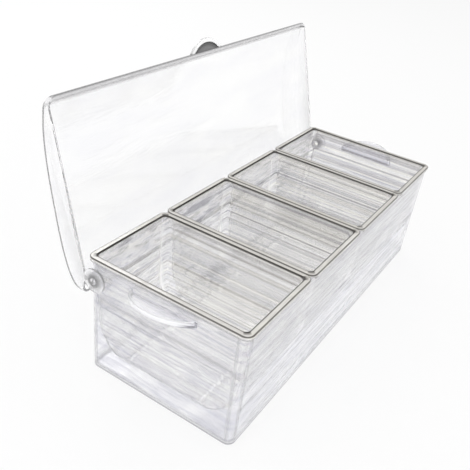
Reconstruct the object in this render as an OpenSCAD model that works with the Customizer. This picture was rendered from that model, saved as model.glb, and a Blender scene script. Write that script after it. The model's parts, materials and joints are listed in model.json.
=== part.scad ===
// Chilled serving caddy in clear moulded plastic: an ice tub with a cupped grip on each end, a row of lift-out
// dishes hung on its rim, and one arched lid that swings back on two hinge pins.
// X runs along the length, -Y is the front, +Y the hinge side, and the tub stands on z = 0.
// The pieces are drawn as in use with the lid open: open_angle is the lid's travel from closed.

/* [Overall] */
// Length over the dish rims
rim_length = 398; // [340:1:460]
// Width over the dish rims, front to back
rim_width = 154; // [140:1:190]
// Height from the table to the top of the dish rims
height = 117; // [112:1:140]

/* [Ice tub] */
// Wall thickness of the tub
tub_wall = 2; // [1.6:0.1:2.6]
// Thickness of the tub floor
floor_thickness = 2.6; // [1.8:0.1:4]
// How far each tub wall leans in from the rim to the floor
tub_draft = 1.4; // [0.6:0.1:3]
// Outer radius of the upright corners
tub_corner = 8; // [6:0.5:14]
// Radius along the bottom edge
bottom_edge = 3; // [1:0.5:5]

/* [Dishes] */
// Depth of a dish below the rim top, outside
dish_depth = 96; // [60:1:98]
// Wall thickness of a dish
dish_wall = 1.5; // [1.2:0.1:2]
// How far each dish wall leans in from rim to bottom
dish_draft = 2.2; // [1:0.1:4]
// Large radius under the front and back of a dish
dish_round = 35; // [15:1:45]
// Radius where the ends of a dish meet its bottom
dish_end_round = 6; // [3:0.5:10]
// Upright corner radius of a dish
dish_corner = 6; // [4:0.5:8]
// Thickness of the flange on top of the tub wall
flange_thickness = 1.8; // [1.2:0.1:2.5]
// Thickness of the skirt that hangs from the flange
skirt_thickness = 1.2; // [1:0.1:1.8]
// Height of the skirt, flange included
skirt_height = 4; // [3:0.1:6]
// Plan radius of the rim corners
rim_corner = 7; // [4:0.5:9]

/* [Grips] */
// Width of a grip along the end wall
grip_width = 64; // [50:1:80]
// How far a grip stands out from the end wall
grip_reach = 22; // [16:0.5:26]
// Thickness of the grip's floor
grip_thickness = 2.4; // [1.8:0.1:3.5]
// Width of the raised lip around a grip
grip_lip_width = 2.6; // [1.8:0.1:4]
// Height of that lip above the grip's floor
grip_lip_height = 3.2; // [1:0.1:4]
// Upward tilt of a grip in degrees
grip_tilt = 20; // [8:1:22]
// Depth of the grip's root below the rim top
grip_drop = 14; // [14:0.5:24]

/* [Lid] */
// Wall thickness of the lid
lid_wall = 2; // [1.6:0.1:2.6]
// Height of the roof's crest above the dish rims
lid_crown = 13.4; // [11:0.1:20]
// Height of the lid's front wall
front_wall_height = 5.6; // [4.6:0.1:7]
// Distance of the roof's crest in front of the hinge line
crest_distance = 55; // [35:1:75]
// Radius of the bead along the back wall's lower edge, which rests on the tub when the lid is open
back_bead = 1.5; // [1.2:0.1:1.8]
// Height of the end walls' free edge above the hinge line, at the back
cheek_edge_height = 9.6; // [9:0.1:10]
// Plan radius of the lid's corners
lid_corner = 8; // [5:0.5:9]
// Radius of the half-round thumb tab
tab_radius = 18; // [12:0.5:24]
// Thickness of the tab's web
tab_web = 1.6; // [1.2:0.1:2]
// Thickness of the bead around the tab
tab_bead = 3; // [2.2:0.1:4]
// Width of that bead
tab_bead_width = 3; // [2:0.1:4]

/* [Hinge] */
// Radius of the hinge pins
pin_radius = 3.2; // [2:0.1:4]
// Running clearance around a pin
pin_clearance = 0.05; // [0.02:0.01:0.1]
// Radius of the bosses on the tub around the pins
boss_radius = 6.6; // [5.6:0.1:8]
// Radius of a pin's head
pin_head_radius = 5; // [4.6:0.1:6]
// Thickness of a pin's head
pin_head_height = 1; // [0.8:0.1:1.5]
// Radius of the lid's hinge ears
ear_radius = 11; // [10.5:0.5:12]
// Depth of the hinge line below the rim top
hinge_drop = 19; // [18:0.5:21]
// Distance of the hinge line in front of the rim's back face
hinge_inset = 10.5; // [9:0.5:12]
// Travel of the lid from closed to open, in degrees
open_angle = 102; // [96:1:108]

/* [Fits] */
// Gap between the skirts and the tub wall
skirt_gap = 0.3; // [0.2:0.05:0.5]
// Gap between a dish's body and the tub wall
body_gap = 0.4; // [0.3:0.05:0.8]
// Gap between neighbouring dishes
dish_gap = 0.4; // [0.3:0.05:0.8]
// Gap under a resting flange
seat_gap = 0.1; // [0.05:0.05:0.2]
// Gap between the lid's ends and the dish rims
lid_end_gap = 0.8; // [0.5:0.1:1.4]
// Gap between the lid's front wall and the dish rims
lid_front_gap = 0.6; // [0.5:0.1:1.4]
// Gap between the closed lid's roof and the dish rims, at the front wall
roof_gap = 1; // [0.6:0.1:2]
// Gap between the closed lid's back bead and the dish rims
lid_back_gap = 2; // [1.5:0.1:3]
// Gap between the open lid's back bead and the tub
stop_gap = 0.3; // [0.2:0.05:0.5]
// Gap between an ear and its boss
ear_gap = 0.3; // [0.2:0.05:0.5]
// Gap between an ear and its pin's head
head_gap = 0.2; // [0.1:0.05:0.4]

/* [Hidden] */

dish_count = 4;
round_fn = 96;
hull_fn = 32;
edge_fn = 16;
thin = 0.5;
through = 1;
curve_steps = 20;

// Tub, from the rim inwards
tub_top = height - flange_thickness - seat_gap;
tub_half_x = rim_length / 2 - skirt_thickness - skirt_gap;
tub_half_y = rim_width / 2 - skirt_thickness - skirt_gap;
tub_inner_corner = tub_corner - tub_wall;
tub_inner_edge = min(bottom_edge, tub_inner_corner);

// Dishes, from the tub inwards
dish_pitch = (rim_length + dish_gap) / dish_count;
rim_half_x = (dish_pitch - dish_gap) / 2;
rim_half_y = rim_width / 2;
body_inset = skirt_thickness + skirt_gap + tub_wall + body_gap;
body_half_x = rim_half_x - body_inset;
body_half_y = rim_half_y - body_inset;
dish_bottom = height - dish_depth;

// Grips, hung on the end walls
grip_root_z = height - grip_drop;
grip_depth = grip_reach / cos(grip_tilt);
grip_arc = (pow(grip_width / 2, 2) + pow(grip_depth, 2)) / (2 * grip_depth);

// Hinge line
hinge_y = rim_half_y - hinge_inset;
hinge_z = height - hinge_drop;
lid_inner_x = rim_length / 2 + lid_end_gap;
lid_outer_x = lid_inner_x + lid_wall;
boss_x = lid_inner_x - ear_gap;
pin_end_x = tub_half_x - tub_wall;
pin_head_x = lid_outer_x + head_gap;

// Lid section, measured from the hinge line with the lid closed
front_reach = rim_width - hinge_inset + lid_front_gap + lid_wall;
crest = -crest_distance;
roof_power = 3;
back_power = 2.8;
lid_rise = hinge_drop + lid_crown;
front_top = hinge_drop + roof_gap + lid_wall;
lid_fall = lid_rise - front_top;
front_edge = front_top - front_wall_height;
cheek_back = crest_distance / 4;

// The back bead: clear of the rims when closed, resting against the tub's back wall when open
bead_y = hinge_inset + lid_back_gap + back_bead;
lid_back_reach = bead_y + lid_wall / 2;
stop_y = hinge_inset - skirt_thickness - skirt_gap - lean(tub_draft, hinge_z - bead_y, 0, tub_top);
back_edge_height = (stop_y + stop_gap + back_bead - bead_y * cos(open_angle)) / sin(open_angle);

// How far a drafted wall has leaned in at height z, for a lean that is complete at the bottom
function lean(draft, z, bottom, top) = draft * (top - z) / (top - bottom);

// Height of the roof's surface at y: a cube-law fall to the front, a superellipse quarter at the back
function roof_front(y, rise, reach) = rise - lid_fall * pow((crest - y) / (reach + crest), roof_power);
function roof_back(y, rise, foot, reach) =
    foot + (rise - foot) * pow(1 - pow((y - crest) / (reach - crest), back_power), 1 / back_power);

// Points of the roof from front to back, drawn in by the inset t
function roof_points(t) = [
    for (k = [0 : curve_steps])
        let (y = -(front_reach - t) + (front_reach - t + crest) * k / curve_steps)
        [y, roof_front(y, lid_rise - t, front_reach - t)],
    for (k = [1 : curve_steps])
        let (a = 90 * k / curve_steps)
        let (y = crest + (lid_back_reach - t - crest) * sin(a))
        [y, roof_back(y, lid_rise - t, back_edge_height, lid_back_reach - t)]
];

// Rounded rectangle, centred
module rounded_plan(half_x, half_y, r) {
    hull()
        for (x = [-1, 1], y = [-1, 1])
            translate([x * (half_x - r), y * (half_y - r)])
                circle(r = r, $fn = hull_fn);
}

// A disc with a rounded rim, for the corners of a hull, cut off at its own axis where the rounding is the larger
module round_edge_disc(r, edge) {
    rotate_extrude($fn = hull_fn)
        intersection() {
            translate([r - edge, 0])
                circle(r = edge, $fn = edge_fn);
            translate([0, -edge])
                square([r, 2 * edge]);
        }
}

// A drafted box with round upright corners and a rolled bottom edge
module drafted_box(half_x, half_y, draft, bottom, top, corner, edge) {
    hull() {
        for (x = [-1, 1], y = [-1, 1]) {
            translate([x * (half_x - corner), y * (half_y - corner), top - thin])
                cylinder(r = corner, h = thin, $fn = hull_fn);
            translate([x * (half_x - draft - corner), y * (half_y - draft - corner), bottom + edge])
                round_edge_disc(corner, edge);
        }
    }
}

// A drafted box whose long bottom edges are swept to a large radius
module drafted_trough(half_x, half_y, draft, bottom, top, corner, big, edge) {
    hull() {
        for (x = [-1, 1], y = [-1, 1]) {
            translate([x * (half_x - corner), y * (half_y - corner), top - thin])
                cylinder(r = corner, h = thin, $fn = hull_fn);
            translate([x * (half_x - draft - edge), y * (half_y - draft - big), bottom + big])
                rotate([0, 90, 0])
                    round_edge_disc(big, edge);
        }
    }
}

// A cupped crescent that hangs on the wall at x = 0 and rises outwards
module grip() {
    translate([0, 0, grip_root_z])
        rotate([0, -grip_tilt, 0])
            difference() {
                translate([0, 0, -grip_thickness])
                    linear_extrude(grip_thickness + grip_lip_height)
                        crescent(0);
                linear_extrude(grip_lip_height + through)
                    crescent(grip_lip_width);
            }
}

// Circular segment beyond the wall, drawn in by the inset t
module crescent(t) {
    intersection() {
        translate([grip_depth - grip_arc, 0])
            circle(r = grip_arc - t, $fn = round_fn);
        translate([-tub_wall, -grip_width])
            square([grip_depth + tub_wall, 2 * grip_width]);
    }
}

// The tub's outer shape with its grips and hinge bosses
module tub_outside() {
    drafted_box(tub_half_x, tub_half_y, tub_draft, 0, tub_top, tub_corner, bottom_edge);
    for (side = [-1, 1])
        mirror([side < 0 ? 1 : 0, 0, 0]) {
            translate([tub_half_x - lean(tub_draft, grip_root_z, 0, tub_top), 0, 0])
                grip();
            translate([tub_half_x - tub_corner, hinge_y, hinge_z])
                rotate([0, 90, 0])
                    cylinder(r = boss_radius, h = boss_x - tub_half_x + tub_corner, $fn = round_fn);
        }
}

module tub() {
    color([0.86, 0.88, 0.92])
        difference() {
            tub_outside();
            drafted_box(
                tub_half_x - tub_wall,
                tub_half_y - tub_wall,
                tub_draft,
                floor_thickness,
                tub_top + thin,
                tub_inner_corner,
                tub_inner_edge
            );
            for (side = [-1, 1])
                translate([side * (pin_end_x + boss_x) / 2, hinge_y, hinge_z])
                    rotate([0, 90, 0])
                        cylinder(
                            r = pin_radius + pin_clearance,
                            h = boss_x - pin_end_x + 2 * through,
                            center = true,
                            $fn = round_fn
                        );
        }
}

// The lip around a flange. Its ends between two dishes are notched where the tub's walls pass under them.
module skirt(notched_ends) {
    translate([0, 0, height - skirt_height])
        difference() {
            linear_extrude(skirt_height)
                difference() {
                    rounded_plan(rim_half_x, rim_half_y, rim_corner);
                    rounded_plan(
                        rim_half_x - skirt_thickness,
                        rim_half_y - skirt_thickness,
                        rim_corner - skirt_thickness
                    );
                }
            for (x = notched_ends, y = [-1, 1])
                translate([
                    x * (rim_half_x - rim_corner / 2),
                    y * (body_half_y + rim_half_y - skirt_thickness) / 2,
                    (skirt_height - flange_thickness) / 2 - through
                ])
                    cube([
                        rim_corner + through,
                        rim_half_y - skirt_thickness - body_half_y,
                        skirt_height - flange_thickness + 2 * through
                    ], center = true);
        }
}

// One dish, centred on its own length
module dish(notched_ends) {
    difference() {
        union() {
            drafted_trough(
                body_half_x,
                body_half_y,
                dish_draft,
                dish_bottom,
                height - flange_thickness / 2,
                dish_corner,
                dish_round,
                dish_end_round
            );
            translate([0, 0, height - flange_thickness])
                linear_extrude(flange_thickness)
                    rounded_plan(rim_half_x, rim_half_y, rim_corner);
            skirt(notched_ends);
        }
        drafted_trough(
            body_half_x - dish_wall,
            body_half_y - dish_wall,
            dish_draft,
            dish_bottom + dish_wall,
            height + thin,
            dish_corner - dish_wall,
            dish_round - dish_wall,
            dish_end_round - dish_wall
        );
    }
}

module dish_at(n) {
    color([0.93, 0.92, 0.88])
        translate([-rim_length / 2 + rim_half_x + (n - 1) * dish_pitch, 0, 0])
            dish([if (n > 1) -1, if (n < dish_count) 1]);
}

// The lid's section as a solid band between the roof and the end walls' free edge
module lid_section() {
    polygon(concat(
        [[-front_reach, front_edge]],
        roof_points(0),
        [[lid_back_reach, back_edge_height], [0, cheek_edge_height], [-cheek_back, cheek_edge_height]]
    ));
}

// The same section drawn in by the wall, open downwards
module lid_hollow() {
    polygon(concat(
        [[-front_reach + lid_wall, front_edge - lid_rise]],
        roof_points(lid_wall),
        [[lid_back_reach - lid_wall, -lid_rise]]
    ));
}

// Carries a section in the Y-Z plane along X, centred
module along_x(length) {
    rotate([90, 0, 90])
        linear_extrude(length, center = true)
            children();
}

// Plan of the lid with rounded corners, as a prism through its whole height
module lid_plan(t) {
    half_y = (front_reach + lid_back_reach) / 2 - t;
    translate([0, (lid_back_reach - front_reach) / 2, -lid_rise])
        linear_extrude(3 * lid_rise)
            rounded_plan(lid_outer_x - t, half_y, lid_corner - t);
}

// Half-round tab under the front wall's edge: a web with a bead around it
module thumb_tab() {
    translate([0, -front_reach + lid_wall / 2, front_edge + tab_bead / 2])
        intersection() {
            translate([-tab_radius, -tab_radius - lid_wall, -tab_bead / 2])
                cube([2 * tab_radius, tab_radius + lid_wall, tab_bead]);
            union() {
                cylinder(r = tab_radius - tab_bead_width / 2, h = tab_web, center = true, $fn = round_fn);
                difference() {
                    cylinder(r = tab_radius, h = tab_bead, center = true, $fn = round_fn);
                    cylinder(
                        r = tab_radius - tab_bead_width,
                        h = tab_bead + through,
                        center = true,
                        $fn = round_fn
                    );
                }
            }
        }
}

// The two ears outside the bosses, as discs on the hinge line
module ears() {
    for (side = [-1, 1])
        translate([side * (lid_inner_x + lid_outer_x) / 2, 0, 0])
            rotate([0, 90, 0])
                cylinder(r = ear_radius, h = lid_wall, center = true, $fn = round_fn);
}

// The lid closed, with the hinge line as its origin
module lid_closed() {
    difference() {
        union() {
            intersection() {
                along_x(2 * lid_outer_x)
                    lid_section();
                lid_plan(0);
            }
            ears();
        }
        intersection() {
            along_x(2 * lid_inner_x)
                lid_hollow();
            lid_plan(lid_wall);
        }
        rotate([0, 90, 0])
            cylinder(r = pin_radius + pin_clearance, h = 3 * lid_outer_x, center = true, $fn = round_fn);
    }
    translate([0, bead_y, back_edge_height])
        rotate([0, 90, 0])
            cylinder(r = back_bead, h = 2 * (lid_outer_x - lid_corner), center = true, $fn = round_fn);
    thumb_tab();
}

module lid() {
    color([0.95, 0.96, 0.98])
        translate([0, hinge_y, hinge_z])
            rotate([-open_angle, 0, 0])
                lid_closed();
}

// A pin through the lid's ear, fixed in the tub's boss, with its head outside
module hinge_pin(side) {
    color([0.9, 0.91, 0.94])
        mirror([side < 0 ? 1 : 0, 0, 0])
            translate([0, hinge_y, hinge_z])
                rotate([0, 90, 0]) {
                    translate([0, 0, pin_end_x])
                        cylinder(r = pin_radius, h = pin_head_x - pin_end_x, $fn = round_fn);
                    translate([0, 0, pin_head_x])
                        cylinder(r = pin_head_radius, h = pin_head_height, $fn = round_fn);
                }
}

tub();
dish_at(1);  // dish_1
dish_at(2);  // dish_2
dish_at(3);  // dish_3
dish_at(4);  // dish_4
lid();
hinge_pin(-1);  // hinge_pin_left
hinge_pin(1);  // hinge_pin_right
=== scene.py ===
"""Looks of the chilled serving caddy: clear moulded tub, lift-out dishes and arched lid, on a pale floor."""
import json
from math import cos, pi, radians, sin

import bmesh
import bpy
import numpy as np
from mathutils import Matrix, Vector


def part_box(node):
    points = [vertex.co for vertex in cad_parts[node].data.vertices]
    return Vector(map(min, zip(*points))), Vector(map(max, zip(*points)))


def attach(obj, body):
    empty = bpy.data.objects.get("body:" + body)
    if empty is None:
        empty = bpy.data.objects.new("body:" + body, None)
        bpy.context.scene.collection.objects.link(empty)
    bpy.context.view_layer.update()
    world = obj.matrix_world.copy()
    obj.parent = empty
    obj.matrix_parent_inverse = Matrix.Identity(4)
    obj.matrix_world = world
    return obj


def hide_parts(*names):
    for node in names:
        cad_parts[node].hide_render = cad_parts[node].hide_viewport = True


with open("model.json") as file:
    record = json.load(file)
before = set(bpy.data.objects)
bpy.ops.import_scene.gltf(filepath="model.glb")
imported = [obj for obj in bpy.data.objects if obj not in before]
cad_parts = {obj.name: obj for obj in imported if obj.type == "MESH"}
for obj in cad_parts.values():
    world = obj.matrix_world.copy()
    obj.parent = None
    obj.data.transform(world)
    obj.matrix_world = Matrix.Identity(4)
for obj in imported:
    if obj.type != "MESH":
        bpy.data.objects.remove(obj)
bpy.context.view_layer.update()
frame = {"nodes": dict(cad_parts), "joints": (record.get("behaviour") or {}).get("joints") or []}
MM = 0.001

# Walls, rounds and gaps of the mouldings, in millimetres
TUB_WALL = 2.0
TUB_FLOOR = 2.6
TUB_DRAFT = 1.4
TUB_CORNER = 8.0
TUB_BOTTOM_ROUND = 3.0
TUB_TOP_ROUND = 0.7
TUB_FOOT_CORNER = 7.0
TUB_INNER_FOOT_CORNER = 5.0
FLANGE = 1.8
SEAT_GAP = 0.1
SKIRT = 1.2
SKIRT_DROP = 4.0
SKIRT_GAP = 0.3
BODY_GAP = 0.4
DISH_WALL = 1.5
DISH_DRAFT = 2.2
DISH_SWEEP = 35.0
DISH_END_ROUND = 6.0
DISH_CORNER = 6.0
FLAT_CORNER = 2.0
RIM_CORNER = 7.0
RIM_ROUND = 0.8
RIM_INNER_ROUND = 1.1
SKIRT_ROUNDS = [0.5, 0.3, 0.35, 0.4]
NOTCH_GAP = 0.1
GRIP_WIDTH = 64.0
GRIP_REACH = 22.0
GRIP_FLOOR = 2.4
GRIP_LIP = 2.6
GRIP_LIP_RISE = 3.2
GRIP_TILT = 20.0
GRIP_DROP = 14.0
GRIP_EMBED = 1.2
GRIP_ROUNDS = [1.4, 1.1, 0.9, 0.8]
LID_WALL = 2.0
LID_CROWN = 13.4
LID_FRONT_GAP = 0.6
LID_BACK_GAP = 2.0
LID_ROOF_GAP = 1.0
LID_FRONT_WALL = 5.6
LID_CREST = 55.0
LID_CHEEK_EDGE = 9.6
LID_PLAN_CORNER = 8.0
LID_EDGE_ROUND = 2.2
LID_FRONT_ROUND = 5.0
LID_CROWN_POWER = 2.8
LID_BLEND = 22.0
LID_BACK_CORNER = LID_PLAN_CORNER - 3
LID_LIP = 1.2
LID_RIM_BEVEL = 0.45
BEAD = 1.5
STOP_GAP = 0.3
TAB_WIDTH = 50.0
TAB_REACH = 11.8
TAB_WEB = 1.6
TAB_BEAD = 3.0
TAB_BEAD_WIDTH = 4.0
TAB_LIFT = 0.1
TAB_ROUNDS = [0.3, 0.5, 0.9, 0.9, 0.5, 0.3]
# Insets where the tab's section gets extra points, and the painted dark shade across the tab: insets and amounts.
TAB_LINES = [5.3, 6.0, 6.8, 7.8]
TAB_PAINTED_SHADE_TONES = ([0, 0.6, 3.7, 4.0, 5.3, 6.0, 6.8, 7.8, 14], [0.5, 0, 0, 1, 1, 0, 0.9, 0.15, 0.25])
PIN = 3.2
BORE = 3.25
PIN_HEAD = 5.0
PIN_HEAD_RISE = 1.0
PIN_ROUNDS = [0.4, 0, 0, 0.7]
BOSS = 6.6
BOSS_ROOT = 3.0
BOSS_ROUND = 0.6
EAR = 11.0
EAR_ROUND = 0.5
EAR_OUT = 0.12
EAR_GAP = 0.3
BEAD_ROUND = 1.0
LID_END_GAP = 0.8
HEAD_GAP = 0.2

# Spacing of the mesh along flat walls, so that what a corner stores stays near it, and how far a cut runs past
WALL_STEP = 7.0
CUT_PAST = 5.0

# The row of dishes, from the frame
DISHES = sorted(name for name in frame["nodes"] if name.startswith("dish_"))
ROW_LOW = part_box(DISHES[0])[0] / MM
ROW_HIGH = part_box(DISHES[-1])[1] / MM
TOP = ROW_HIGH.z
HALF_X = (ROW_HIGH.x - ROW_LOW.x) / 2
HALF_Y = (ROW_HIGH.y - ROW_LOW.y) / 2
TUB_X = HALF_X - SKIRT - SKIRT_GAP
TUB_Y = HALF_Y - SKIRT - SKIRT_GAP
TUB_TOP = TOP - FLANGE - SEAT_GAP
BODY_INSET = SKIRT + SKIRT_GAP + TUB_WALL + BODY_GAP

# The hinge line and the lid's travel, from the frame
HINGE = next(joint for joint in frame["joints"] if joint["name"] == "lid_hinge")
HINGE_Y = HINGE["pos_m"][1] / MM
HINGE_Z = HINGE["pos_m"][2] / MM
OPEN_ANGLE = -HINGE["range_deg"][0]


def finish_mesh(name, vertices, faces, sharp_angle=38.0):
    """Makes an object from corners in millimetres and faces, with its doubles merged, smooth up to an angle."""
    mesh = bpy.data.meshes.new(name)
    mesh.from_pydata((np.asarray(vertices, float) * MM).tolist(), [], faces)
    work = bmesh.new()
    work.from_mesh(mesh)
    bmesh.ops.remove_doubles(work, verts=work.verts, dist=1e-7)
    bmesh.ops.dissolve_degenerate(work, edges=work.edges, dist=1e-8)
    bmesh.ops.recalc_face_normals(work, faces=work.faces)
    work.to_mesh(mesh)
    work.free()
    shade(mesh, sharp_angle)
    piece = bpy.data.objects.new(name, mesh)
    bpy.context.scene.collection.objects.link(piece)
    return piece


def shade(mesh, sharp_angle=38.0):
    """Smooth shading, kept sharp across edges that turn by more than the angle."""
    mesh.polygons.foreach_set("use_smooth", np.ones(len(mesh.polygons), bool))
    mesh.set_sharp_from_angle(angle=radians(sharp_angle))
    mesh.update()


def settle(piece, sharp_angle=38.0):
    """Applies a piece's modifiers and shades the result again."""
    bpy.context.view_layer.update()
    made = bpy.data.meshes.new_from_object(piece.evaluated_get(bpy.context.evaluated_depsgraph_get()))
    piece.modifiers.clear()
    old = piece.data
    piece.data = made
    bpy.data.meshes.remove(old)
    shade(made, sharp_angle)
    return piece


def join_solids(piece, tools, operation):
    """Adds closed solids to a piece or cuts them from it, and removes them."""
    for tool in tools:
        step = piece.modifiers.new(operation.lower(), "BOOLEAN")
        step.operation = operation
        step.solver = "EXACT"
        step.object = tool
    settle(piece)
    for tool in tools:
        mesh = tool.data
        bpy.data.objects.remove(tool)
        bpy.data.meshes.remove(mesh)
    return piece


def mark(piece, name, values):
    """Stores one number for each corner of a piece's mesh, for its material to read."""
    attribute = piece.data.attributes.new(name, "FLOAT", "POINT")
    attribute.data.foreach_set("value", np.asarray(values, np.float32))


def lay_streaks(piece, coordinates):
    """Stores for each corner the place in the streak pattern that its material reads."""
    attribute = piece.data.attributes.new("along", "FLOAT_VECTOR", "POINT")
    attribute.data.foreach_set("vector", np.asarray(coordinates, np.float32).ravel())


def places(mesh):
    """Corners of a mesh as rows of coordinates in millimetres."""
    found = np.empty(len(mesh.vertices) * 3, np.float32)
    mesh.vertices.foreach_get("co", found)
    return found.reshape(-1, 3) / MM


def edge_turn(mesh, low=9.0, high=20.0):
    """How sharply the surface turns at each corner: the largest angle between two faces that share one of its edges,
    from nothing at the low angle to one at the high angle."""
    loops, edges, faces = len(mesh.loops), len(mesh.edges), len(mesh.polygons)
    loop_edge = np.empty(loops, np.int32)
    mesh.loops.foreach_get("edge_index", loop_edge)
    totals = np.empty(faces, np.int32)
    mesh.polygons.foreach_get("loop_total", totals)
    normals = np.empty(faces * 3, np.float32)
    mesh.polygons.foreach_get("normal", normals)
    ends = np.empty(edges * 2, np.int32)
    mesh.edges.foreach_get("vertices", ends)
    loop_face = np.repeat(np.arange(faces), totals)
    order = np.argsort(loop_edge, kind="stable")
    loop_edge, loop_face = loop_edge[order], loop_face[order]
    pair = np.flatnonzero(loop_edge[:-1] == loop_edge[1:])
    normals = normals.reshape(-1, 3)
    dots = np.einsum("ij,ij->i", normals[loop_face[pair]], normals[loop_face[pair + 1]])
    angle = np.degrees(np.arccos(np.clip(dots, -1, 1)))
    share = np.clip((angle - low) / (high - low), 0, 1)
    turn = np.zeros(len(mesh.vertices))
    np.maximum.at(turn, ends.reshape(-1, 2)[loop_edge[pair], 0], share)
    np.maximum.at(turn, ends.reshape(-1, 2)[loop_edge[pair], 1], share)
    return turn


def grid_faces(rows, columns, closed_rows=False, closed_columns=True, start=0):
    """Quads of a grid of rows by columns of corners, counted row after row."""
    row = np.arange(rows if closed_rows else rows - 1)[:, None]
    column = np.arange(columns if closed_columns else columns - 1)[None, :]
    next_row = (row + 1) % rows
    next_column = (column + 1) % columns
    quads = np.stack(
        [
            row * columns + column,
            row * columns + next_column,
            next_row * columns + next_column,
            next_row * columns + column,
        ],
        axis=-1,
    )
    return (quads.reshape(-1, 4) + start).tolist()


def rounded_path(corners, radii, steps=4, hold=0.45):
    """A path through corners with circular rounds. Each round is the rational quadratic curve between its two
    tangent points, which is an exact arc, with one more point just outside each end so that flats shade flat."""
    corners = np.asarray(corners, float)
    points = [corners[:1]]
    t = np.linspace(0, 1, steps + 1)[:, None]
    for before, corner, after, radius in zip(corners[:-2], corners[1:-1], corners[2:], radii):
        if radius <= 0:
            points.append(corner[None])
            continue
        into, out = before - corner, after - corner
        into_length = np.hypot(into[0], into[-1])
        out_length = np.hypot(out[0], out[-1])
        into, out = into / into_length, out / out_length
        half = np.arccos(np.clip(-(into[0] * out[0] + into[-1] * out[-1]), -1, 1)) / 2
        reach = radius * np.tan(half)
        a, b = corner + into * reach, corner + out * reach
        weight = np.cos(half)
        arc = ((1 - t) ** 2 * a + 2 * t * (1 - t) * weight * corner + t**2 * b) / (
            (1 - t) ** 2 + 2 * t * (1 - t) * weight + t**2
        )
        if into_length > reach + 2 * hold:
            points.append((corner + into * (reach + hold))[None])
        points.append(arc)
        if out_length > reach + 2 * hold:
            points.append((corner + out * (reach + hold))[None])
    points.append(corners[-1:])
    return np.concatenate(points)


def rectangle_rings(half_x, half_y, corner, steps=10, hold=1.2):
    """Rings of rounded rectangles, one for each row of sizes. A corner is a quarter turn of corner radius about its
    own centre, and one point on each side of it holds the straight sides flat."""
    half_x, half_y, corner = (np.asarray(v, float)[:, None] for v in (half_x, half_y, corner))
    turn = np.linspace(0, pi / 2, steps + 1)[None, :]
    rings = []
    for quarter in range(4):
        sx, sy = ((1, 1), (-1, 1), (-1, -1), (1, -1))[quarter]
        angle = turn + quarter * pi / 2
        x = sx * (half_x - corner) + corner * np.cos(angle)
        y = sy * (half_y - corner) + corner * np.sin(angle)
        along = np.array([-sin(quarter * pi / 2), cos(quarter * pi / 2)])
        across = np.array([-sin((quarter + 1) * pi / 2), cos((quarter + 1) * pi / 2)])
        first = np.stack([x[:, :1] - along[0] * hold, y[:, :1] - along[1] * hold], axis=-1)
        last = np.stack([x[:, -1:] + across[0] * hold, y[:, -1:] + across[1] * hold], axis=-1)
        rings.append(np.concatenate([first, np.stack([x, y], axis=-1), last], axis=1))
    return np.concatenate(rings, axis=1)


def held(stations, spacing=WALL_STEP):
    """The same stations with more of them where two lie further apart than the spacing, evenly between the two."""
    stations = np.asarray(stations, float)
    gap = np.linalg.norm(np.diff(stations[:, [0, 3]], axis=0), axis=1)
    pieces = [
        start + (stop - start) * np.linspace(0, 1, int(np.ceil(length / spacing)) + 1)[:-1, None]
        for start, stop, length in zip(stations[:-1], stations[1:], gap)
    ]
    return np.concatenate(pieces + [stations[-1:]])


def edge_distance(x, y, half_x, half_y, corner):
    """Signed distance from the outline of a rounded rectangle, negative inside."""
    qx, qy = np.abs(x) - half_x + corner, np.abs(y) - half_y + corner
    outside = np.hypot(np.maximum(qx, 0), np.maximum(qy, 0))
    return outside + np.minimum(np.maximum(qx, qy), 0) - corner


def bump_at(value, place, width):
    """One at a place, falling to nothing a width away on both sides."""
    return np.clip(1 - np.abs(value - place) / width, 0, 1)


def rise_from(value, start, width):
    """Nothing up to a start, rising to one over a width, and one beyond. A width below zero rises downwards."""
    return np.clip((value - start) / width, 0, 1)


def lofted(name, stations, half_x, half_y, centre_x=0.0, lift=None):
    """A closed solid from rows (inset in X, inset in Y, corner radius, height): each row is a rounded rectangle that
    much smaller than the given half sizes, from the middle of the underside, over the rim, to the inner floor."""
    inset_x, inset_y, corner, height = np.asarray(stations, float).T
    plan = rectangle_rings(half_x - inset_x, half_y - inset_y, corner)
    z = np.repeat(height[:, None], plan.shape[1], axis=1)
    if lift is not None:
        z = z + lift(plan)
    vertices = np.concatenate([plan + np.array([centre_x, 0.0]), z[..., None]], axis=-1)
    rows, columns = plan.shape[:2]
    faces = grid_faces(rows, columns)
    faces.append(list(range(columns))[::-1])
    faces.append(list(range((rows - 1) * columns, rows * columns)))
    return finish_mesh(name, vertices.reshape(-1, 3), faces)


def turned(name, profile, centre, axis_turn, start=0.0, stop=360.0, steps=64):
    """A profile of (radius, height) rows turned about its axis: radius times the cosine and sine of the angle gives
    two coordinates, and height the third. axis_turn carries the axis from Z to its place."""
    profile = np.asarray(profile, float)
    whole = stop - start >= 360.0
    angle = np.radians(np.linspace(start, stop, steps + 1))
    angle = angle[:-1] if whole else angle
    radius, height = profile[:, 0], profile[:, 1]
    x = np.cos(angle)[:, None] * radius[None, :]
    y = np.sin(angle)[:, None] * radius[None, :]
    z = np.repeat(height[None, :], len(angle), axis=0)
    points = np.stack([x, y, z], axis=-1).reshape(-1, 3)
    points = points @ np.array(axis_turn).T + np.array(centre)
    faces = grid_faces(len(angle), len(profile), closed_rows=whole, closed_columns=True)
    if not whole:
        faces.append(list(range(len(profile)))[::-1])
        faces.append([(len(angle) - 1) * len(profile) + k for k in range(len(profile))])
    return finish_mesh(name, points, faces)


ALONG_X = np.array([[0.0, 0.0, 1.0], [0.0, 1.0, 0.0], [-1.0, 0.0, 0.0]])


def disc_profile(radius, low, high, edge, steps=4):
    """Half outline of a disc with rounded rims, from its lower centre to its upper centre."""
    corners = [(0, low), (radius, low), (radius, high), (0, high)]
    return rounded_path(corners, [edge, edge], steps, hold=0.3)


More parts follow.
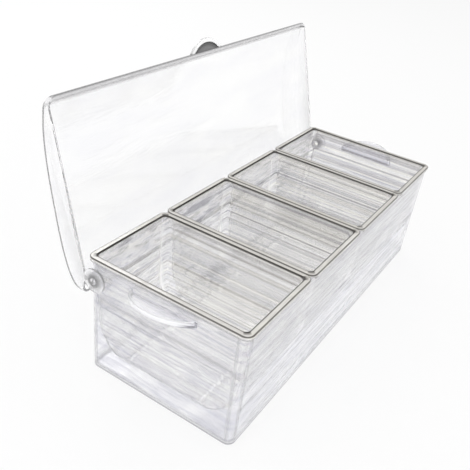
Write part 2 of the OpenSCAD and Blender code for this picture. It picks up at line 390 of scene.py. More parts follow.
def tub_stations():
    """The tub's wall from the middle of its underside, over the rim, to its floor."""
    foot, inner = TUB_DRAFT, TUB_WALL + TUB_DRAFT
    flat, inner_flat = foot + 9, inner + 7
    corners = [
        (flat, flat, FLAT_CORNER, 0),
        (foot, foot, TUB_FOOT_CORNER, 0),
        (0, 0, TUB_CORNER, TUB_TOP),
        (TUB_WALL, TUB_WALL, TUB_CORNER - TUB_WALL, TUB_TOP),
        (inner, inner, TUB_INNER_FOOT_CORNER, TUB_FLOOR),
        (inner_flat, inner_flat, FLAT_CORNER, TUB_FLOOR),
    ]
    rounds = [TUB_BOTTOM_ROUND, TUB_TOP_ROUND, TUB_TOP_ROUND, TUB_BOTTOM_ROUND]
    return rounded_path(corners, rounds, steps=6)


def arc_radius(width, reach):
    """Radius of the circle whose segment has this width and reach."""
    return ((width / 2) ** 2 + reach**2) / (2 * reach)


def crescent(width, reach, corners, rounds, embed, steps=48):
    """A solid over a circular segment of the given width and reach. Its section (inset from the arc, height) is
    carried along the arc, each inset on its own circle about the same centre, and runs into the wall behind by the
    embedded depth. Gives corner rows of (outwards, along the wall, height) and its faces."""
    arc = arc_radius(width, reach)
    section = rounded_path(corners, rounds, steps=4, hold=0.3)
    inset, height = section.T
    radius = arc - inset
    sweep = np.arccos(np.clip((arc - reach - embed) / radius, -1, 1))
    fraction = np.linspace(-1, 1, steps + 1)[:, None]
    out = reach - arc + radius * np.cos(fraction * sweep)
    along = radius * np.sin(fraction * sweep)
    up = np.repeat(height[None, :], len(fraction), axis=0)
    back = np.full((1, len(inset)), -embed)
    out = np.concatenate([back, out, back])
    along = np.concatenate([along[:1], along, along[-1:]])
    up = np.concatenate([up[:1], up, up[-1:]])
    rows, columns = out.shape
    faces = grid_faces(rows, columns)
    faces.append(list(range(columns)))
    faces.append(list(range((rows - 1) * columns, rows * columns)))
    return np.stack([out, along, up], axis=-1).reshape(-1, 3), faces


def grip(side):
    """A cupped crescent on an end wall: a floor that rises outwards by the tilt, with a lip round its arc."""
    deep = GRIP_REACH + GRIP_EMBED * 2 / 3
    corners = [
        (deep, -GRIP_FLOOR),
        (0, -GRIP_FLOOR),
        (0, GRIP_LIP_RISE),
        (GRIP_LIP, GRIP_LIP_RISE),
        (GRIP_LIP, 0),
        (deep, 0),
    ]
    rows, faces = crescent(GRIP_WIDTH, GRIP_REACH, corners, GRIP_ROUNDS, GRIP_EMBED)
    out, along, up = rows.T
    root = TOP - GRIP_DROP
    wall = TUB_X - TUB_DRAFT * (TUB_TOP - root) / TUB_TOP
    height = root + up + np.tan(radians(GRIP_TILT)) * out
    return finish_mesh("grip", np.stack([side * (wall + out), along, height], axis=-1), faces)


def boss(side):
    """The short round boss on an end wall that holds a hinge pin."""
    inner = TUB_X - TUB_CORNER + BOSS_ROOT
    outer = HALF_X + LID_END_GAP - EAR_GAP
    profile = disc_profile(BOSS, 0, outer - inner, BOSS_ROUND)
    return turned("boss", profile, (side * inner, HINGE_Y, HINGE_Z), ALONG_X * side)


def rod(name, radius, from_x, to_x, y, z, edge=0.1):
    """A straight round rod along X."""
    return turned(name, disc_profile(radius, 0, to_x - from_x, edge), (from_x, y, z), ALONG_X)


def make_tub():
    """The tub's shell with its bosses and grips, bored for the pins and cleared inside."""
    tub = lofted("tub_shell", held(tub_stations()), TUB_X, TUB_Y)
    join_solids(tub, [boss(-1), boss(1), grip(-1), grip(1)], "UNION")
    cutters = []
    for side in (-1, 1):
        low, high = sorted((side * (TUB_X - TUB_CORNER), side * (HALF_X + CUT_PAST)))
        cutters.append(rod("bore", BORE, low, high, HINGE_Y, HINGE_Z))
    foot = TUB_WALL + TUB_DRAFT + 2
    inner = held([(foot, foot, 4.0, TUB_FLOOR + 4), (TUB_WALL + 0.02, TUB_WALL + 0.02, 5.98, TUB_TOP - 2)])
    join_solids(tub, [*cutters, lofted("inner", inner, TUB_X, TUB_Y)], "DIFFERENCE")
    paint_tub_shade_and_highlights(tub)
    return tub


def paint_tub_shade_and_highlights(tub):
    """Painted shade as dark lines round the foot outside and in, up both sides of each corner and on the tight turns
    of grips and bosses. The rim is a little tinted with painted shade and the grips' upper faces get a painted
    highlight.
    The painted streaks follow the object's own axes."""
    x, y, z = places(tub.data).T
    lean = TUB_DRAFT * (TUB_TOP - z) / TUB_TOP
    outer = (edge_distance(x, y, TUB_X - lean, TUB_Y - lean, TUB_CORNER) > -TUB_WALL / 2) * 1.0
    # Painted shade: dark lines round the foot, outside and in.
    foot = outer * np.clip(1.5 * np.maximum(bump_at(z, 0.3, 1.2), bump_at(z, 2.9, 1.0) * 0.7), 0, 1)
    foot = foot + 0.6 * (1 - outer) * bump_at(z, TUB_FLOOR + 0.8, 1.0)
    near_corner = np.hypot(TUB_X - np.abs(x), TUB_Y - np.abs(y)) < TUB_CORNER * 1.5
    # Painted shade up both sides of each corner.
    painted_corner_shade = np.maximum(
        bump_at(np.abs(y) - lean, TUB_Y - TUB_CORNER, 2.0),
        bump_at(np.abs(x) - lean, TUB_X - TUB_CORNER, 2.0),
    )
    painted_corner_shade = painted_corner_shade * outer * near_corner * (z > 6) * 0.55
    away = (np.abs(x) > TUB_X + 0.4) * 1.0
    # Stores the painted dark lines, the rim's painted shade and the grips' painted highlight.
    mark(tub, "edge", np.maximum.reduce([foot * (z < 8), edge_turn(tub.data) * away * 0.5, painted_corner_shade]))
    mark(tub, "rim", rise_from(z, TUB_TOP - 1.5, 1.0) * 0.4)
    mark(tub, "pale", away * rise_from(z, TOP - GRIP_DROP + 2, 2) * 0.5)
    lay_streaks(tub, places(tub.data) * MM)


def dish_stations(bottom):
    """A dish's wall from the middle of its underside, up outside, round the flange and skirt, and down inside. Below
    the sweep's centre the long sides follow its circle and the ends their own smaller one."""
    body = BODY_INSET
    turn = np.radians(np.array([90, 88, 86, 80, 70, 60, 50, 42, 35, 30, 25, 20, 15, 10, 5, 2]))

    def swept(inset, floor, corner, sweep, end_round):
        height = sweep * (1 - np.sin(turn[::-1]))
        side = sweep * (1 - np.cos(turn[::-1]))
        low = np.clip(height, 0, end_round)
        end = end_round - np.sqrt(end_round**2 - (end_round - low) ** 2)
        lean = DISH_DRAFT
        return np.stack(
            [inset + lean + end, inset + lean + side, np.full_like(height, corner), floor + height], axis=-1
        )

    outer = swept(body, bottom, DISH_CORNER, DISH_SWEEP, DISH_END_ROUND)
    wall = DISH_WALL
    inner = swept(body + wall, bottom + wall, DISH_CORNER - wall, DISH_SWEEP - wall, DISH_END_ROUND - wall)
    lip = TOP - SKIRT_DROP
    under = TOP - FLANGE
    corners = [
        outer[0],
        (body, body, DISH_CORNER, under),
        (SKIRT, SKIRT, RIM_CORNER - SKIRT, under),
        (SKIRT, SKIRT, RIM_CORNER - SKIRT, lip),
        (0, 0, RIM_CORNER, lip),
        (0, 0, RIM_CORNER, TOP),
        (body + wall, body + wall, DISH_CORNER - wall, TOP),
        inner[0],
    ]
    over = rounded_path(corners, [*SKIRT_ROUNDS, RIM_ROUND, RIM_INNER_ROUND], steps=4, hold=0.3)
    flat = inner[-1] + np.array([[1.0, 1.0, 0.0, 0.0], [2.0, 2.0, 0.0, 0.0]])
    return np.concatenate([outer[:0:-1], over, inner[1:], flat])


def make_dish(name):
    """One dish. Its skirt is notched at the corners that it shares with a neighbour, over the tub's walls."""
    low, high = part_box(name)
    low, high = low / MM, high / MM
    half_x = (high.x - low.x) / 2
    half_y = (high.y - low.y) / 2
    centre = (high.x + low.x) / 2
    stations = held(dish_stations(low.z))
    height = stations[:, 3]
    skirted = (height < TOP - FLANGE - 0.05) & (stations[:, 0] < SKIRT + 0.05)
    shared = [side for side in (-1, 1) if abs(centre + side * half_x) < HALF_X - 1]
    notch_low = half_y - BODY_INSET
    notch_high = half_y - SKIRT

    def lift(plan):
        y = np.abs(plan[..., 1])
        inside = np.clip((y - notch_low + 1.2) / 1.2, 0, 1) * np.clip((notch_high - y) / 0.5 + 1, 0, 1)
        at_corner = np.zeros_like(y)
        for side in shared:
            at_corner += (plan[..., 0] * side > half_x - RIM_CORNER - 1) * 1.0
        rise = (TOP - FLANGE - NOTCH_GAP - height)[:, None]
        return np.where(skirted[:, None], rise * inside * at_corner, 0.0)

    dish = lofted(name + "_moulding", stations, half_x, half_y, centre, lift)
    paint_dish_shade_and_highlights(dish, centre, half_x, half_y, low.z)
    return dish


def paint_dish_shade_and_highlights(dish, centre, half_x, half_y, bottom):
    """Painted shade as dark lines on the outer top edge, the skirt's lower edge and the inner top edge, and a painted
    shadow line beside the floor. The top is tinted with painted shade. The rounds at the ends and the seam between
    sweep and floor get painted highlights. The painted streaks run along X over the long walls and sweeps, where
    their place is X and height plus distance from the middle, and along Y on the floor."""
    x, y, z = places(dish.data).T
    x_in, y_out = x - centre, np.abs(y)
    depth = edge_distance(x_in, y, half_x, half_y, RIM_CORNER)
    wide = BODY_INSET + DISH_WALL
    floor = bottom + DISH_WALL
    side = half_y - wide - DISH_DRAFT - DISH_SWEEP + DISH_WALL
    end = half_x - wide - DISH_DRAFT

    inside = (depth < -wide + 2) * 1.0
    # Painted dark lines on the rim's edges, and a painted shadow line beside the floor.
    painted_outer_shade = rise_from(depth, -1.0, 0.3) * rise_from(z, TOP - 1.1, 0.3) * 0.9
    painted_skirt_shade = rise_from(z, TOP - SKIRT_DROP + 0.5, -0.3) * (depth > -SKIRT - 0.2) * 0.8
    painted_inner_shade = rise_from(depth, -wide + 1.25, -0.15) * rise_from(z, TOP - 1.4, 0.3)
    painted_floor_shadow = inside * bump_at(y_out, side - 1.0, 0.7) * (z < floor + 0.02) * 0.35
    mark(dish, "edge", np.maximum.reduce([painted_outer_shade, painted_skirt_shade, painted_inner_shade, painted_floor_shadow]))
    # Painted shade that tints the top.
    mark(dish, "rim", rise_from(z, TOP - 2.2, 0.6) * rise_from(depth, -wide - 0.3, 0.5) * 0.6)

    # Painted highlights on the rounds at the ends and on the seam between sweep and floor.
    painted_end_highlight = inside * bump_at(np.abs(x_in), end - 2.2, 2.6) * (z < TOP - 3)
    painted_end_highlight = painted_end_highlight * np.where(z < bottom + DISH_SWEEP + 12, 0.9, 0.4)
    seam = inside * rise_from(y_out, side + 1.9, -0.6) * (y_out > side - 0.3) * (z < floor + 0.1) * 0.95
    mark(dish, "pale", np.maximum(painted_end_highlight, seam))

    # Places of the painted streaks: along X over the walls and sweeps, along Y on the floor.
    lies_flat = (z < bottom + 0.2) | (np.abs(z - floor) < 0.02)
    on_walls = np.stack([x * 0.012, (z + y_out) * 0.11, np.zeros_like(x)], axis=-1)
    on_floor = np.stack([x * 0.12, y * 0.004, np.full_like(x, 9)], axis=-1)
    lay_streaks(dish, np.where(lies_flat[:, None], on_floor, on_walls))


def lid_sizes():
    """Places on the lid's section, from the hinge line, with the lid closed."""
    inset = HALF_Y - HINGE_Y
    drop = TOP - HINGE_Z
    reach = 2 * HALF_Y - inset + LID_FRONT_GAP + LID_WALL
    rise = drop + LID_CROWN
    front_top = drop + LID_ROOF_GAP + LID_WALL
    bead_y = inset + LID_BACK_GAP + BEAD
    lean = TUB_DRAFT * (TUB_TOP - HINGE_Z + bead_y) / TUB_TOP
    angle = radians(OPEN_ANGLE)
    stop = inset - SKIRT - SKIRT_GAP - lean
    bead_z = (stop + STOP_GAP + BEAD - bead_y * cos(angle)) / sin(angle)
    return reach, rise, front_top, bead_y, bead_z


def make_lid():
    """The lid as one curved sheet, thickened inwards. Its section has a short front wall, a roof that falls by a cube
    law to the front and by a superellipse to the back, and the sheet turns down over each end by a quarter round."""
    reach, rise, front_top, bead_y, bead_z = lid_sizes()
    crest = -LID_CREST
    back = bead_y + LID_WALL / 2
    fall = rise - front_top
    front_edge = front_top - LID_FRONT_WALL

    def roof(y):
        front = rise - fall * np.clip((crest - y) / (reach + crest), 0, None) ** 3
        share = np.clip((y - crest) / (back - crest), 0, 1)
        rear = bead_z + (rise - bead_z) * (1 - share**LID_CROWN_POWER) ** (1 / LID_CROWN_POWER)
        return np.where(y < crest, front, rear)

    front_y = -reach + (reach + crest) * np.linspace(0, 1, 25)
    back_y = crest + (back - crest) * np.sin(np.linspace(0, pi / 2, 37)[1:])
    y = np.concatenate([front_y, back_y])
    corners = np.concatenate([[[-reach, front_edge]], np.stack([y, roof(y)], axis=-1)])
    section = rounded_path(corners, [LID_FRONT_ROUND] + [0] * (len(corners) - 3), steps=6, hold=0.8)

    # The end outline: in by the plan corner at the front and back walls, and down by the edge round under the roof
    y, z = section.T
    to_front = np.clip((-reach + LID_BLEND - y) / LID_BLEND, 0, 1)
    to_back = np.clip((y - back + LID_BLEND) / LID_BLEND, 0, 1) ** 2
    end_y = y + LID_PLAN_CORNER * to_front - LID_BACK_CORNER * to_back
    end_z = np.minimum(z, roof(np.clip(end_y, -reach, back)) - LID_EDGE_ROUND)
    end_z = np.where(z < bead_z + 1e-6, z, np.maximum(end_z, front_edge))
    size = LID_EDGE_ROUND + (LID_PLAN_CORNER - LID_EDGE_ROUND) * to_front
    size = size + (LID_BACK_CORNER - LID_EDGE_ROUND) * to_back
    half = HALF_X + LID_END_GAP + LID_WALL
    turn = np.radians(np.linspace(90, 0, 7))
    share = 1 - np.cos(turn)[:, None]
    x_rows = half - size[None, :] * (1 - np.sin(turn)[:, None])
    y_rows = y[None, :] + (end_y - y)[None, :] * share
    z_rows = z[None, :] + (end_z - z)[None, :] * share
    x_rows, y_rows, z_rows = (
        np.concatenate([grid, grid[-1:] - step, (grid[-1:] - step) * flip, grid[::-1] * flip])
        for grid, step, flip in ((x_rows, LID_LIP, -1), (y_rows, 0, 1), (z_rows, 0, 1))
    )
    points = np.stack([x_rows, y_rows, z_rows], axis=-1)
    rows, columns = x_rows.shape
    faces = grid_faces(rows, columns, closed_columns=False)
    vertices = points.reshape(-1, 3)
    edge = np.array([(0.0, LID_CHEEK_EDGE), (crest / 4, LID_CHEEK_EDGE)])
    for row, side in ((0, 1), (rows - 1, -1)):
        extra = np.column_stack([np.full(2, side * half), edge])
        outline = list(range(row * columns, (row + 1) * columns)) + [len(vertices), len(vertices) + 1]
        vertices = np.concatenate([vertices, extra])
        faces.append(outline)
    lid = finish_mesh("lid_moulding", vertices, faces)
    normals = np.empty(len(lid.data.polygons) * 3, np.float32)
    lid.data.polygons.foreach_get("normal", normals)
    middles = np.empty(len(lid.data.polygons) * 3, np.float32)
    lid.data.polygons.foreach_get("center", middles)
    if normals.reshape(-1, 3)[middles.reshape(-1, 3)[:, 2].argmax(), 2] < 0:
        lid.data.flip_normals()
    wall = lid.modifiers.new("wall", "SOLIDIFY")
    wall.thickness = LID_WALL * MM
    wall.offset = -1
    wall.use_even_offset = True
    wall.use_quality_normals = True
    rim = lid.modifiers.new("rim", "BEVEL")
    rim.width = LID_RIM_BEVEL * MM
    rim.segments = 2
    rim.limit_method = "ANGLE"
    rim.angle_limit = radians(60)
    settle(lid)

    ear_in = HALF_X + LID_END_GAP + EAR_OUT
    ears = [rod("ear", EAR, *sorted((s * ear_in, s * (ear_in + LID_WALL))), 0, 0, edge=EAR_ROUND) for s in (-1, 1)]
    bead = rod("bead", BEAD, LID_PLAN_CORNER - half, half - LID_PLAN_CORNER, bead_y, bead_z, edge=BEAD_ROUND)
    join_solids(lid, [*ears, bead, thumb_tab(reach, front_edge)], "UNION")
    past = half + CUT_PAST
    bores = [rod("bore", BORE, -past, -HALF_X, 0, 0), rod("bore", BORE, HALF_X, past, 0, 0)]
    join_solids(lid, bores, "DIFFERENCE")
    paint_lid_shade_and_highlights(lid, reach)
    opened = Matrix.Rotation(-radians(OPEN_ANGLE), 4, "X")
    lid.data.transform(Matrix.Translation(Vector((0, HINGE_Y, HINGE_Z)) * MM) @ opened)
    return lid


def paint_lid_shade_and_highlights(lid, reach):
    """Painted shade as dark lines on both sides of the front round, on the tab inside its bead and on the other tight
    turns. The front round is tinted with painted shade and the tab's bead gets a painted highlight. The painted
    streaks follow the lid's axes while it is closed."""
    x, y = places(lid.data).T[:2]
    past = -y - reach
    tab = np.clip(past - 0.2, 0, 1)
    arc = arc_radius(TAB_WIDTH, TAB_REACH)
    inset = arc - np.hypot(x, past - TAB_REACH + arc)
    # Painted shade: dark lines on both sides of the front round.
    painted_front_shade = bump_at(past, -LID_FRONT_ROUND, 0.9) + rise_from(past, -0.7, 0.4) * 0.8
    near_front = past > -LID_FRONT_ROUND - 0.9
    elsewhere = np.where(near_front, np.minimum(painted_front_shade, 1), edge_turn(lid.data, 20, 50) * 0.7)
    # Painted dark lines on the tab and the tight turns, the front round's painted shade and the tab bead's painted
    # highlight.
    mark(lid, "edge", np.where(tab > 0, np.interp(inset, *TAB_PAINTED_SHADE_TONES), elsewhere))
    mark(lid, "rim", rise_from(past, -LID_FRONT_ROUND - 0.4, 0.4) * (1 - tab))
    mark(lid, "pale", tab * (inset < TAB_BEAD_WIDTH) * 0.6)
    lay_streaks(lid, places(lid.data) * MM)


def thumb_tab(reach, front_edge):
    """Thumb tab under the front wall's edge: a thin web over a circular segment, with a bead around it."""
    web, bead = TAB_WEB / 2, TAB_BEAD / 2
    deep = TAB_REACH + 0.6
    corners = [
        (deep, -web),
        (TAB_BEAD_WIDTH, -web),
        (TAB_BEAD_WIDTH, -bead),
        (0, -bead),
        (0, bead),
        (TAB_BEAD_WIDTH, bead),
        (TAB_BEAD_WIDTH, web),
        *[(inset, web) for inset in TAB_LINES],
        (deep, web),
    ]
    rounds = TAB_ROUNDS + [0] * len(TAB_LINES)
    rows, faces = crescent(TAB_WIDTH, TAB_REACH, corners, rounds, LID_WALL / 2)
    out, along, up = rows.T
    height = front_edge + bead + TAB_LIFT + up
    return finish_mesh("tab", np.stack([along, -reach - out, height], axis=-1), faces)


def make_pin(side):
    """A hinge pin with a low domed head outside the ear."""
    inner = TUB_X - TUB_WALL
    length = HALF_X + LID_END_GAP + LID_WALL + HEAD_GAP - inner
    top = length + PIN_HEAD_RISE
    corners = [(0, 0), (PIN, 0), (PIN, length), (PIN_HEAD, length), (PIN_HEAD, top), (0, top)]
    profile = rounded_path(corners, PIN_ROUNDS, steps=4, hold=0.3)
    name = "pin_" + ("left" if side < 0 else "right")
    pin = turned(name, profile, (side * inner, HINGE_Y, HINGE_Z), ALONG_X * side)
    # Painted shade: dark lines on the pin's tight turns.
    mark(pin, "edge", edge_turn(pin.data, 20, 60) * 0.8)
    lay_streaks(pin, places(pin.data) * MM)
    return pin


def node_group(material):
    """The nodes and links of a material, emptied."""
    material.use_nodes = True
    nodes, links = material.node_tree.nodes, material.node_tree.links
    nodes.clear()
    return nodes, links


def own_value(nodes, name, output="Fac"):
    """What the piece itself stores under a name."""
    reader = nodes.new("ShaderNodeAttribute")
    reader.attribute_name = name
    return reader.outputs[output]


def larger(nodes, links, first, second):
    """The larger of two values."""
    node = nodes.new("ShaderNodeMath")
    node.operation = "MAXIMUM"
    links.new(first, node.inputs[0])
    links.new(second, node.inputs[1])
    return node.outputs["Value"]


def mixed(nodes, links, factor, start, end):
    """A colour between two, each of which is a tone or what another node gives."""
    node = nodes.new("ShaderNodeMix")
    node.data_type = "RGBA"
    links.new(factor, node.inputs["Factor"])
    for name, colour in (("A", start), ("B", end)):
        if isinstance(colour, tuple):
            node.inputs[name].default_value = (*colour, 1)
        else:
            links.new(colour, node.inputs[name])
    return node.outputs["Result"]


def ranged(nodes, links, value, low, high):
    """A value from nothing to one, stretched between two others."""
    node = nodes.new("ShaderNodeMapRange")
    node.inputs["To Min"].default_value = low
    node.inputs["To Max"].default_value = high
    links.new(value, node.inputs["Value"])
    return node.outputs["Result"]


def bumped(nodes, links, height, strength, distance):
    """A node that tilts the surface by a height."""
    node = nodes.new("ShaderNodeBump")
    node.inputs["Strength"].default_value = strength
    node.inputs["Distance"].default_value = distance
    links.new(height, node.inputs["Height"])
    return node


def clear_plastic(name, tones, streak, rim, edge, density, ripple):
    """Clear moulded plastic. Flow streaks from the mould ripple its surface, and the same streaks paint light and
    shade into it between the given colours. Its rim gets painted shade, its lines are painted dark shade and its pale
    places get painted highlights, and all three are cloudier the stronger they are. A body colour deepens along the
    way that light goes inside it."""
    material = bpy.data.materials.new(name)
    nodes, links = node_group(material)
    flow_map = nodes.new("ShaderNodeMapping")
    flow_map.inputs["Scale"].default_value = streak
    links.new(own_value(nodes, "along", "Vector"), flow_map.inputs["Vector"])
    flow_and_painted_streaks = nodes.new("ShaderNodeTexNoise")
    flow_and_painted_streaks.inputs["Scale"].default_value = 1.0
    flow_and_painted_streaks.inputs["Detail"].default_value = 4.0
    flow_and_painted_streaks.inputs["Roughness"].default_value = 0.6
    flow_and_painted_streaks.inputs["Distortion"].default_value = 0.15
    links.new(flow_map.outputs["Vector"], flow_and_painted_streaks.inputs["Vector"])
    flow_and_painted_streaks = flow_and_painted_streaks.outputs["Fac"]
    place = nodes.new("ShaderNodeTexCoord")
    pits = nodes.new("ShaderNodeTexNoise")
    pits.inputs["Scale"].default_value = 900.0
    pits.inputs["Detail"].default_value = 2.0
    links.new(place.outputs["Object"], pits.inputs["Vector"])
    pits = pits.outputs["Fac"]

    # Painted light and shade in streaks, between the given colours; the same streaks ripple the surface below.
    painted_streak_ramp = nodes.new("ShaderNodeValToRGB")
    stops = painted_streak_ramp.color_ramp.elements
    for index, (position, tone) in enumerate(tones):
        stop = stops[index] if index < 2 else stops.new(position)
        stop.position = position
        stop.color = (*tone, 1)
    links.new(flow_and_painted_streaks, painted_streak_ramp.inputs["Fac"])

    # The rim's painted shade, the painted dark lines and the painted highlights, as the piece stores them; each makes
    # the plastic cloudier.
    at_painted_rim_shade, at_painted_dark_line, at_painted_highlight = (own_value(nodes, part) for part in ("rim", "edge", "pale"))
    painted_rim_colour = mixed(nodes, links, flow_and_painted_streaks, *rim)
    colour = mixed(nodes, links, at_painted_rim_shade, painted_streak_ramp.outputs["Color"], painted_rim_colour)
    colour = mixed(nodes, links, at_painted_dark_line, colour, edge)
    colour = mixed(nodes, links, at_painted_highlight, colour, (1, 1, 1))
    painted_amount = larger(nodes, links, larger(nodes, links, at_painted_rim_shade, at_painted_dark_line), at_painted_highlight)
    clearness = ranged(nodes, links, painted_amount, 0.96, 0.2)

    waves = bumped(nodes, links, flow_and_painted_streaks, 1.0, ripple)
    grain = bumped(nodes, links, pits, 0.12, 0.00002)
    links.new(waves.outputs["Normal"], grain.inputs["Normal"])
    plastic = nodes.new("ShaderNodeBsdfPrincipled")
    plastic.inputs["IOR"].default_value = 1.55
    links.new(colour, plastic.inputs["Base Color"])
    links.new(clearness, plastic.inputs["Transmission Weight"])
    links.new(ranged(nodes, links, pits, 0.012, 0.05), plastic.inputs["Roughness"])
    links.new(grain.outputs["Normal"], plastic.inputs["Normal"])
    through = nodes.new("ShaderNodeBsdfTransparent")
    through.inputs["Color"].default_value = (0.95, 0.95, 0.95, 1)
    light = nodes.new("ShaderNodeLightPath")
    choose = nodes.new("ShaderNodeMixShader")
    links.new(light.outputs["Is Shadow Ray"], choose.inputs["Fac"])
    links.new(plastic.outputs["BSDF"], choose.inputs[1])
    links.new(through.outputs["BSDF"], choose.inputs[2])
    body = nodes.new("ShaderNodeVolumeAbsorption")
    body.inputs["Color"].default_value = (*density[0], 1)
    body.inputs["Density"].default_value = density[1]
    out = nodes.new("ShaderNodeOutputMaterial")
    links.new(choose.outputs["Shader"], out.inputs["Surface"])
    links.new(body.outputs["Volume"], out.inputs["Volume"])
    return material


def seen_rays(nodes, links):
    """One where a ray comes from the camera, a reflection or a refraction, and zero for other rays."""
    light = nodes.new("ShaderNodeLightPath").outputs
    mirrored = larger(nodes, links, light["Is Camera Ray"], light["Is Glossy Ray"])
    return larger(nodes, links, mirrored, light["Is Transmission Ray"])


def make_floor():
    """A plain pale floor that looks white and keeps the object's shadow."""
    size = 12.0
    mesh = bpy.data.meshes.new("floor")
    mesh.from_pydata([(-size, -size, 0), (size, -size, 0), (size, size, 0), (-size, size, 0)], [], [(0, 1, 2, 3)])
    floor = bpy.data.objects.new("floor", mesh)
    bpy.context.scene.collection.objects.link(floor)
    material = bpy.data.materials.new("pale_floor")
    nodes, links = node_group(material)
    matt = nodes.new("ShaderNodeBsdfDiffuse")
    matt.inputs["Color"].default_value = (0.8, 0.8, 0.8, 1)
    pale = nodes.new("ShaderNodeBsdfDiffuse")
    pale.inputs["Color"].default_value = (0.15, 0.15, 0.15, 1)
    glow = nodes.new("ShaderNodeEmission")
    glow.inputs["Color"].default_value = (1, 1, 1, 1)
    glow.inputs["Strength"].default_value = 0.775
    both = nodes.new("ShaderNodeAddShader")
    links.new(pale.outputs["BSDF"], both.inputs[0])
    links.new(glow.outputs["Emission"], both.inputs[1])
    choose = nodes.new("ShaderNodeMixShader")
    links.new(seen_rays(nodes, links), choose.inputs["Fac"])
    links.new(matt.outputs["BSDF"], choose.inputs[1])
    links.new(both.outputs["Shader"], choose.inputs[2])
    out = nodes.new("ShaderNodeOutputMaterial")
    links.new(choose.outputs["Shader"], out.inputs["Surface"])
    mesh.materials.append(material)


def make_world():
    """White near the horizon and to the camera, with a darker ceiling that only reflections and refractions find."""
    world = bpy.data.worlds.new("studio")
    bpy.context.scene.world = world
    world.use_nodes = True
    nodes, links = world.node_tree.nodes, world.node_tree.links
    nodes.clear()
    place = nodes.new("ShaderNodeTexCoord")
    split = nodes.new("ShaderNodeSeparateXYZ")
    links.new(place.outputs["Generated"], split.inputs["Vector"])
    height = nodes.new("ShaderNodeMapRange")
    height.interpolation_type = "SMOOTHSTEP"
    height.inputs["From Min"].default_value = 0.12
    height.inputs["From Max"].default_value = 0.4
    height.inputs["To Min"].default_value = 1.0
    height.inputs["To Max"].default_value = 0.12
    links.new(split.outputs["Z"], height.inputs["Value"])
    light = nodes.new("ShaderNodeLightPath").outputs
    mirrored = larger(nodes, links, light["Is Glossy Ray"], light["Is Transmission Ray"])
    level = nodes.new("ShaderNodeMix")
    links.new(mirrored, level.inputs["Factor"])
    level.inputs["A"].default_value = 1.0
    links.new(height.outputs["Result"], level.inputs["B"])
    glow = nodes.new("ShaderNodeBackground")
    glow.inputs["Color"].default_value = (1, 1, 1, 1)
    links.new(level.outputs["Result"], glow.inputs["Strength"])
    out = nodes.new("ShaderNodeOutputWorld")
    links.new(glow.outputs["Background"], out.inputs["Surface"])


def soft_lamp(name, place, size, power):
    """A square lamp that faces the object's middle."""
    lamp = bpy.data.lights.new(name, "AREA")
    lamp.shape = "SQUARE"
    lamp.size = size
    lamp.energy = power
    holder = bpy.data.objects.new(name, lamp)
    holder.location = place
    middle = Vector((0, 0, TOP * MM / 2))
    holder.rotation_euler = (middle - Vector(place)).to_track_quat("-Z", "Y").to_euler()
    bpy.context.scene.collection.objects.link(holder)


def make_camera():
    """The photograph's view. Focal length and middle are in pixels of its 470 by 470 frame."""
    picture = 470
    focal = 636.6
    middle = (229.8, 229.2)
    azimuth, elevation, roll = radians(-60.465), radians(30.869), radians(7.547)
    back = Vector((sin(azimuth) * cos(elevation), -cos(azimuth) * cos(elevation), sin(elevation)))
    right = (-back).cross(Vector((0, 0, 1))).normalized()
    up = right.cross(-back)
    rolled_right = cos(roll) * right + sin(roll) * up
    rolled_up = -sin(roll) * right + cos(roll) * up
    data = bpy.data.cameras.new("camera")
    data.sensor_width = 36
    data.lens = focal / picture * data.sensor_width
    data.shift_x = (picture / 2 - middle[0]) / picture
    data.shift_y = (middle[1] - picture / 2) / picture
    data.clip_start = 0.01
    camera = bpy.data.objects.new("camera", data)
    turn = Matrix((rolled_right, rolled_up, back)).transposed()
    camera.matrix_world = Matrix.Translation((-0.5059, -0.2235, 0.4062)) @ turn.to_4x4()
    bpy.context.scene.collection.objects.link(camera)
    bpy.context.scene.camera = camera


def dress(piece, material, body, slot, *nodes):
    """Gives a piece its plastic, ties it to its body and hides the plain solids that it stands for. The slot is not
    used.
    """
    piece.data.materials.clear()
    piece.data.materials.append(material)
    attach(piece, body)
    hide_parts(*nodes)


scene = bpy.context.scene
scene.view_settings.view_transform = "Standard"
scene.cycles.max_bounces = 40
scene.cycles.transmission_bounces = 40
scene.cycles.glossy_bounces = 12
scene.cycles.transparent_max_bounces = 64

make_camera()
make_world()
make_floor()
soft_lamp("key_lamp", (-0.9, -1.1, 1.6), 1.2, 14)
soft_lamp("back_lamp", (0.7, 1.2, 1.3), 0.9, 10)
soft_lamp("left_lamp", (-1.5, 0.5, 0.9), 0.7, 5)

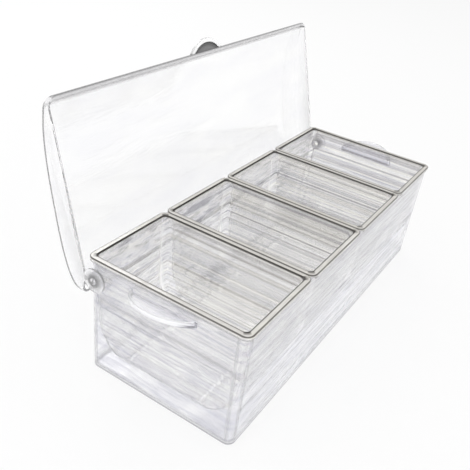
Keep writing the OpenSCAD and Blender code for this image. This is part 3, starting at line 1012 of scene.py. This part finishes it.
# For each plastic: the painted streak colours, the rim's painted shade, the colour of the painted dark lines, the
# body colour with its density, and the ripple.
tub_plastic = clear_plastic(
    "tub_plastic",
    [
        (0.36, (0.70, 0.70, 0.75)),
        (0.43, (0.98, 0.98, 0.99)),
        (0.48, (1.0, 1.0, 1.0)),
        (0.53, (0.78, 0.78, 0.83)),
        (0.58, (1.0, 1.0, 1.0)),
        (0.66, (0.84, 0.84, 0.89)),
    ],
    (7, 7, 120),
    ((0.80, 0.78, 0.75), (0.90, 0.89, 0.87)),
    (0.05, 0.05, 0.06),
    ((0.72, 0.72, 0.80), 22.0),
    0.0004,
)
dish_plastic = clear_plastic(
    "dish_plastic",
    [
        (0.36, (0.50, 0.50, 0.53)),
        (0.41, (0.98, 0.98, 0.99)),
        (0.45, (1.0, 1.0, 0.97)),
        (0.48, (0.72, 0.72, 0.75)),
        (0.52, (1.0, 1.0, 0.99)),
        (0.56, (1.0, 0.99, 0.94)),
        (0.59, (0.58, 0.57, 0.58)),
        (0.63, (1.0, 1.0, 1.0)),
    ],
    (1, 1, 1),
    ((0.50, 0.46, 0.40), (0.92, 0.90, 0.84)),
    (0.03, 0.027, 0.024),
    ((0.72, 0.68, 0.60), 18.0),
    0.0004,
)
lid_plastic = clear_plastic(
    "lid_plastic",
    [(0.36, (0.96, 0.96, 0.975)), (0.52, (0.985, 0.985, 0.99)), (0.62, (1.0, 1.0, 1.0))],
    (10, 34, 34),
    ((0.66, 0.65, 0.66), (0.86, 0.86, 0.87)),
    (0.03, 0.03, 0.03),
    ((0.80, 0.80, 0.80), 16.0),
    0.0003,
)

dress(make_tub(), tub_plastic, "tub_body", "tub_clear", "tub")
for dish in DISHES:
    dress(make_dish(dish), dish_plastic, dish + "_body", "dish_clear", dish)
dress(make_lid(), lid_plastic, "lid_body", "lid_clear", "lid")
for pin_side, pin_node in ((-1, "hinge_pin_left"), (1, "hinge_pin_right")):
    dress(make_pin(pin_side), lid_plastic, "tub_body", "lid_clear", pin_node)
